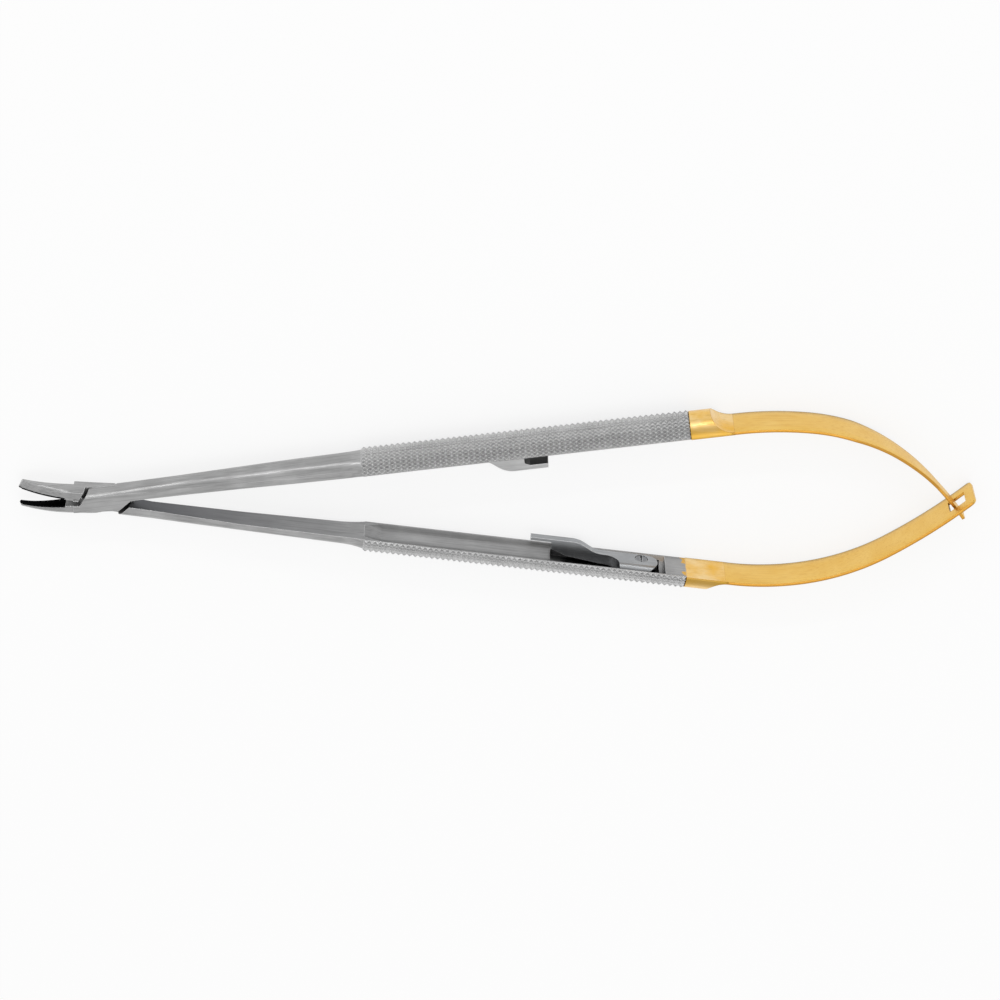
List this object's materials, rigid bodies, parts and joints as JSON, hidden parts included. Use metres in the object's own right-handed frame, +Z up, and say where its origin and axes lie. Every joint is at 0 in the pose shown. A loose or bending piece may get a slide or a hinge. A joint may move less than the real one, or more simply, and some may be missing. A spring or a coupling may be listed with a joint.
{
  "type": "surgical needle holder",
  "caption": "Curved micro needle holder with a scissor joint, knurled half-round handles, a spring catch and gilt leaf springs linked at the end.",
  "frame": {"origin": "on the table, below the middle of the object's box as it lies on its side with the jaws open", "axes": "+X from the jaws to the linked end of the springs, +Y to the handle that carries the catch, +Z up, along the scissor joint's axis"},
  "size_m": [0.18, 0.038, 0.0078],
  "materials": {
    "satin_steel": "satin",
    "latch_steel": "satin",
    "screw_steel": "satin",
    "hard_metal": "matte",
    "gilt_steel": "satin gold plating"
  },
  "bodies": {
    "upper_handle": {"upper_arm": "satin_steel", "lower_jaw_insert": "hard_metal", "pivot_screw": "screw_steel", "catch_hook": "satin_steel", "catch_screw": "screw_steel", "upper_spring_socket": "gilt_steel"},
    "lower_handle": {"lower_arm": "satin_steel", "upper_jaw_insert": "hard_metal", "latch_screw": "screw_steel", "lower_spring_socket": "gilt_steel"},
    "upper_leaf": {"upper_leaf_spring": "gilt_steel"},
    "lower_leaf": {"lower_leaf_spring": "gilt_steel"},
    "latch_bar": {"latch": "latch_steel"}
  },
  "joints": [
    {"name": "jaw_pivot", "type": "hinge", "parent": "upper_handle", "child": "lower_handle", "pos_m": [-0.07386, 0, 0.00388], "axis": [0, 0, 1], "range_deg": [0, 11.4], "stiffness_Nm_per_rad": 0.6},
    {"name": "upper_leaf_bend", "type": "hinge", "parent": "upper_handle", "child": "upper_leaf", "pos_m": [0.04449, 0.01622, 0.00388], "axis": [0, 0, 1], "range_deg": [0, 21.5]},
    {"name": "lower_leaf_bend", "type": "hinge", "parent": "lower_handle", "child": "lower_leaf", "pos_m": [0.04449, -0.01622, 0.00388], "axis": [0, 0, 1], "range_deg": [-21.5, 0]},
    {"name": "latch_spring", "type": "hinge", "parent": "lower_handle", "child": "latch_bar", "pos_m": [0.02735, -0.01576, 0.00388], "axis": [0, 0, 1], "range_deg": [0, 2], "stiffness_Nm_per_rad": 0.02}
  ],
  "couplings": [
    {"joint": "upper_leaf_bend", "follows": "jaw_pivot", "ratio": 1.88},
    {"joint": "lower_leaf_bend", "follows": "jaw_pivot", "ratio": -1.88}
  ]
}
